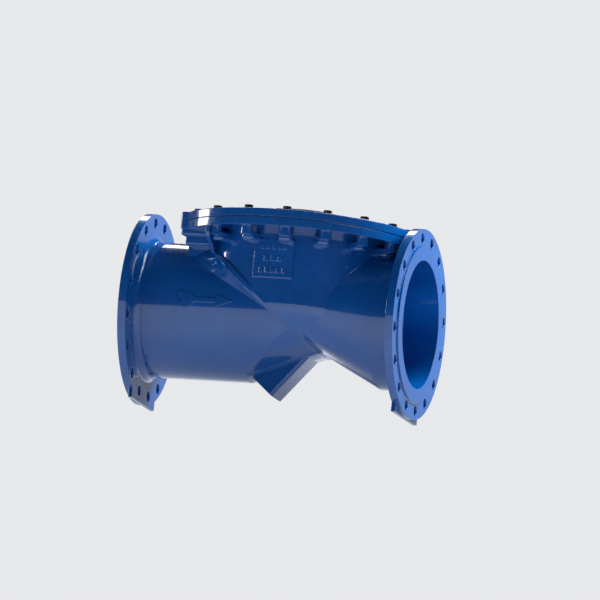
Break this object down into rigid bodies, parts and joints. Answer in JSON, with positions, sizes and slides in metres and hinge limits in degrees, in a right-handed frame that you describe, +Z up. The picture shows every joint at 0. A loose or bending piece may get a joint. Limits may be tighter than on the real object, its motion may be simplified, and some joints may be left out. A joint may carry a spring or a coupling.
{
  "type": "swing check valve",
  "caption": "Flanged swing check valve with an inclined resilient seat, a bolted top access bonnet and a rubber-faced flap that lets flow pass one way.",
  "frame": {"origin": "centre of the inlet flange's raised face, on the pipe axis", "axes": "+X along the pipe axis in the direction of flow, +Z up through the bonnet, +Y to the left when looking downstream"},
  "size_m": [0.787, 0.65, 0.557],
  "materials": {
    "blue_cast_iron": "glossy blue coating on cast iron",
    "blue_plug": "glossy blue coating",
    "black_bolt": "blackened steel, satin",
    "gasket_fibre": "matt black fibre sheet",
    "rubber": "matt black nitrile rubber",
    "stainless": "machined stainless steel",
    "spring_steel": "phosphated spring steel",
    "ductile_iron": "blue coated ductile iron",
    "brass": "machined bronze",
    "copper": "annealed copper"
  },
  "bodies": {
    "valve": {"body": "blue_cast_iron", "bonnet": "blue_cast_iron", "seat_ring": "stainless", "pad_plug": "blue_plug", "bonnet_gasket": "gasket_fibre", "bonnet_bolts": "black_bolt", "bonnet_washers": "black_bolt", "vent_plug": "brass", "vent_plug_seal": "copper", "stop_bumper": "rubber", "stop_screw": "stainless", "hinge_bracket_left": "ductile_iron", "hinge_bracket_right": "ductile_iron", "bracket_bolts": "stainless", "bracket_washers": "stainless", "hinge_pin": "stainless", "pin_circlips": "spring_steel", "thrust_washers": "brass"},
    "flap": {"flap_disc": "ductile_iron", "flap_seal": "rubber", "flap_retainer": "stainless", "flap_screws": "stainless", "flap_screw_washers": "stainless", "hinge_bushes": "brass"}
  },
  "joints": [
    {"name": "flap_hinge", "type": "hinge", "parent": "valve", "child": "flap", "pos_m": [0.20111, 0, 0.1939], "axis": [0, -1, 0], "range_deg": [0, 35]}
  ]
}
